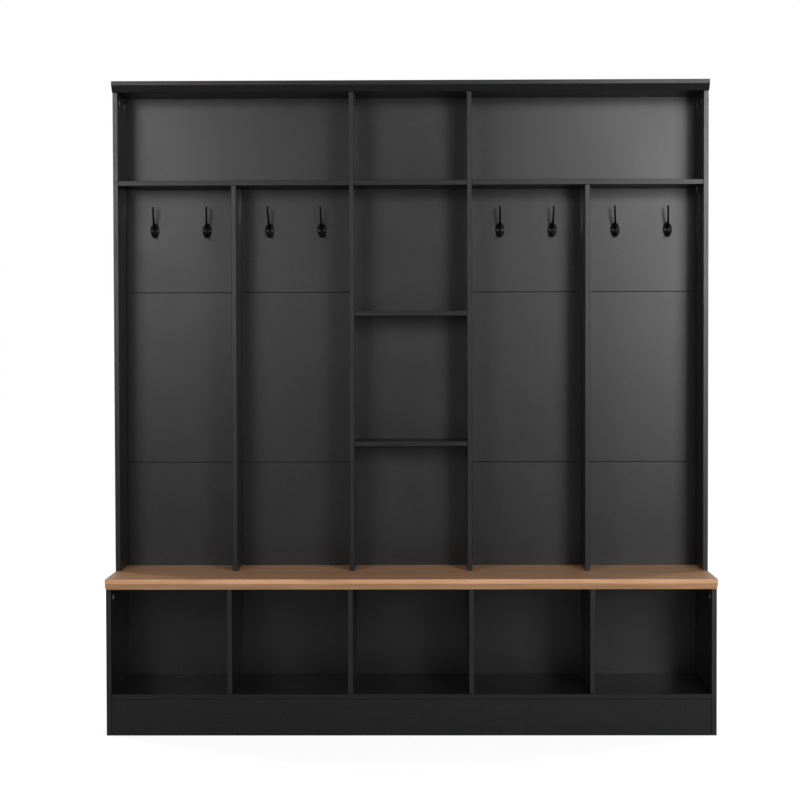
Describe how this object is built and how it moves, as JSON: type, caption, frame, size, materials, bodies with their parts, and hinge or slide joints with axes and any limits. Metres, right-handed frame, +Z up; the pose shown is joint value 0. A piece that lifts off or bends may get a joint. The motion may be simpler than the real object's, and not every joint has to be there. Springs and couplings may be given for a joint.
{
  "type": "entryway storage unit",
  "caption": "Wide hall tree: a bench with a wood-look top over open cubbies, and a shallower black hutch with double coat hooks, open shelves and a crown board.",
  "frame": {"origin": "on the floor, under the middle of the unit's outer box", "axes": "+Z up, +X to the right as seen by someone facing the unit, +Y from the open front to the rear that stands at the wall"},
  "size_m": [1.8, 0.4, 1.946],
  "materials": {
    "black_board": "satin black melamine on particle board, faint upright grain",
    "wood_top": "satin brown wood-look laminate, long grain",
    "back_panel": "thin fibreboard with a black paper face",
    "hook_metal": "black painted die-cast zinc",
    "cam_zinc": "bare cast zinc",
    "bracket_steel": "zinc-plated steel sheet"
  },
  "bodies": {
    "root": {"bench_top": "wood_top", "base_side_left": "black_board", "base_side_right": "black_board", "base_divider_1": "black_board", "base_divider_2": "black_board", "base_divider_3": "black_board", "base_divider_4": "black_board", "cubby_floor": "black_board", "kick_board": "black_board", "rear_plinth_rail": "black_board", "plinth_brace_left": "black_board", "plinth_brace_right": "black_board", "base_back_panel_left": "back_panel", "base_back_panel_center": "back_panel", "base_back_panel_right": "back_panel", "crown_top": "black_board", "hutch_side_left": "black_board", "hutch_side_right": "black_board", "inner_divider_left": "black_board", "inner_divider_right": "black_board", "outer_divider_left": "black_board", "outer_divider_right": "black_board", "upper_shelf_left": "black_board", "upper_shelf_center": "black_board", "upper_shelf_right": "black_board", "middle_shelf_1": "black_board", "middle_shelf_2": "black_board", "hook_board_1": "black_board", "hook_board_2": "black_board", "hook_board_3": "black_board", "hook_board_4": "black_board", "middle_back_board_1": "black_board", "middle_back_board_2": "black_board", "middle_back_board_3": "black_board", "middle_back_board_4": "black_board", "lower_back_board_1": "black_board", "lower_back_board_2": "black_board", "lower_back_board_3": "black_board", "lower_back_board_4": "black_board", "center_back_panel": "back_panel", "top_back_panel_left": "back_panel", "top_back_panel_right": "back_panel", "coat_hook_1": "hook_metal", "coat_hook_2": "hook_metal", "coat_hook_3": "hook_metal", "coat_hook_4": "hook_metal", "coat_hook_5": "hook_metal", "coat_hook_6": "hook_metal", "coat_hook_7": "hook_metal", "coat_hook_8": "hook_metal", "cam_lock_hutch_left_front": "cam_zinc", "cam_lock_hutch_left_rear": "cam_zinc", "cam_lock_hutch_right_front": "cam_zinc", "cam_lock_hutch_right_rear": "cam_zinc", "cam_lock_base_left_front": "cam_zinc", "cam_lock_base_left_rear": "cam_zinc", "cam_lock_base_right_front": "cam_zinc", "cam_lock_base_right_rear": "cam_zinc", "wall_bracket_left": "bracket_steel", "wall_bracket_right": "bracket_steel"}
  },
  "joints": []
}
